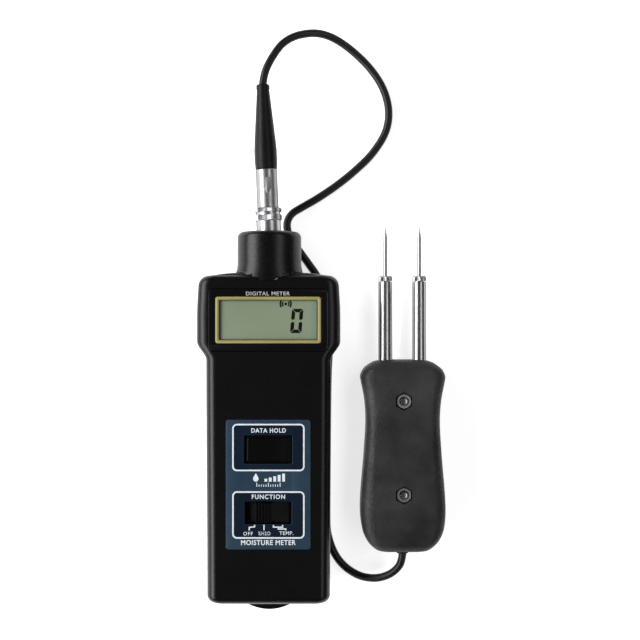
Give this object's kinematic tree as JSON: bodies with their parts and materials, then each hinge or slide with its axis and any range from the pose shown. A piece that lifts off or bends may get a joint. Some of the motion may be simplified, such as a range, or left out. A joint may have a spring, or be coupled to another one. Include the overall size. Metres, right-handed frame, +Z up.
{
  "type": "moisture meter",
  "caption": "Hand-held pin-type moisture meter lying on its back, with a display, slide switch and key, and a pin probe on a plug-in lead.",
  "frame": {"origin": "middle of the case's flat back, on the surface the meter lies on", "axes": "+X to the right across the meter's face, +Y from the battery end to the plug end, +Z up out of the face"},
  "size_m": [0.1082, 0.256, 0.0267],
  "materials": {
    "case_black": "black moulded plastic, satin",
    "grip_black": "dark grey moulded plastic, fine leather grain",
    "key_black": "black plastic, smooth",
    "display_black": "printed black panel, glossy",
    "trim_gold": "gold metallic print",
    "window": "clear acrylic",
    "liquid_crystal": "grey-green reflective display",
    "label": "slate-blue printed label, satin",
    "chrome": "bright chrome plate",
    "steel": "zinc-plated steel",
    "brass": "turned brass",
    "rubber": "black rubber, satin",
    "white_plastic": "off-white insulating plastic",
    "circuit_board": "green solder mask",
    "battery": "printed sleeve"
  },
  "bodies": {
    "meter": {"front_shell": "case_black", "back_shell": "case_black", "neck_collar": "case_black", "socket_shell": "chrome", "socket_nut": "steel", "socket_insulator": "white_plastic", "socket_contact": "brass", "signal_wire": "white_plastic", "display_surround": "display_black", "display_trim": "trim_gold", "display_window": "window", "lcd_panel": "liquid_crystal", "lcd_holder": "white_plastic", "lcd_strip_upper": "rubber", "lcd_strip_lower": "rubber", "label_plate": "label", "tact_switch": "steel", "slide_switch": "steel", "main_board": "circuit_board", "processor_chip": "key_black", "battery_cell_1": "battery", "battery_cell_2": "battery", "battery_cell_3": "battery", "battery_cell_4": "battery", "battery_contact_lower": "steel", "battery_contact_upper": "steel", "case_screw_upper_left": "steel", "case_screw_upper_right": "steel", "case_screw_middle_left": "steel", "case_screw_middle_right": "steel"},
    "battery_door": {"battery_door": "case_black"},
    "hold_key": {"hold_key": "key_black", "tact_plunger": "white_plastic"},
    "slide_knob": {"slide_knob": "key_black"},
    "plug": {"plug_barrel": "chrome", "plug_boot": "rubber", "plug_insulator": "white_plastic", "plug_pin": "brass", "cable": "rubber"},
    "collar": {"plug_collar": "chrome"},
    "probe": {"handle_front": "grip_black", "handle_back": "grip_black", "handle_screw_upper": "steel", "handle_screw_lower": "steel", "handle_nut_upper": "steel", "handle_nut_lower": "steel", "insulator_block": "white_plastic", "electrode_tube_left": "chrome", "electrode_tube_right": "chrome", "pin_chuck_left": "brass", "pin_chuck_right": "brass", "needle_left": "steel", "needle_right": "steel", "cable_gland": "rubber", "probe_wire_left": "white_plastic", "probe_wire_right": "white_plastic"},
    "cap_left": {"collet_cap_left": "chrome"},
    "cap_right": {"collet_cap_right": "chrome"}
  },
  "joints": [
    {"name": "hold_press", "type": "slide", "parent": "meter", "child": "hold_key", "axis": [0, 0, -1], "range_m": [0, 0.001], "stiffness_N_per_m": 300},
    {"name": "function_slide", "type": "slide", "parent": "meter", "child": "slide_knob", "axis": [1, 0, 0], "range_m": [-0.0041, 0.0082]},
    {"name": "battery_door_slide", "type": "slide", "parent": "meter", "child": "battery_door", "axis": [0, -1, 0], "range_m": [0, 0.062]},
    {"name": "plug_pull", "type": "slide", "parent": "meter", "child": "plug", "axis": [-0.0419, 0.9991, 0], "range_m": [0, 0.016]},
    {"name": "collar_turn", "type": "hinge", "parent": "plug", "child": "collar", "pos_m": [0, 0.078, 0.0142], "axis": [-0.0419, 0.9991, 0], "continuous": true},
    {"name": "probe_slide", "type": "slide", "parent": "plug", "child": "probe", "axis": [0, 1, 0], "range_m": [0, 0.02]},
    {"name": "cap_turn_left", "type": "hinge", "parent": "probe", "child": "cap_left", "pos_m": [0.0511, 0.061, 0.0105], "axis": [0, 1, 0], "continuous": true},
    {"name": "cap_turn_right", "type": "hinge", "parent": "probe", "child": "cap_right", "pos_m": [0.0661, 0.061, 0.0105], "axis": [0, 1, 0], "continuous": true}
  ]
}
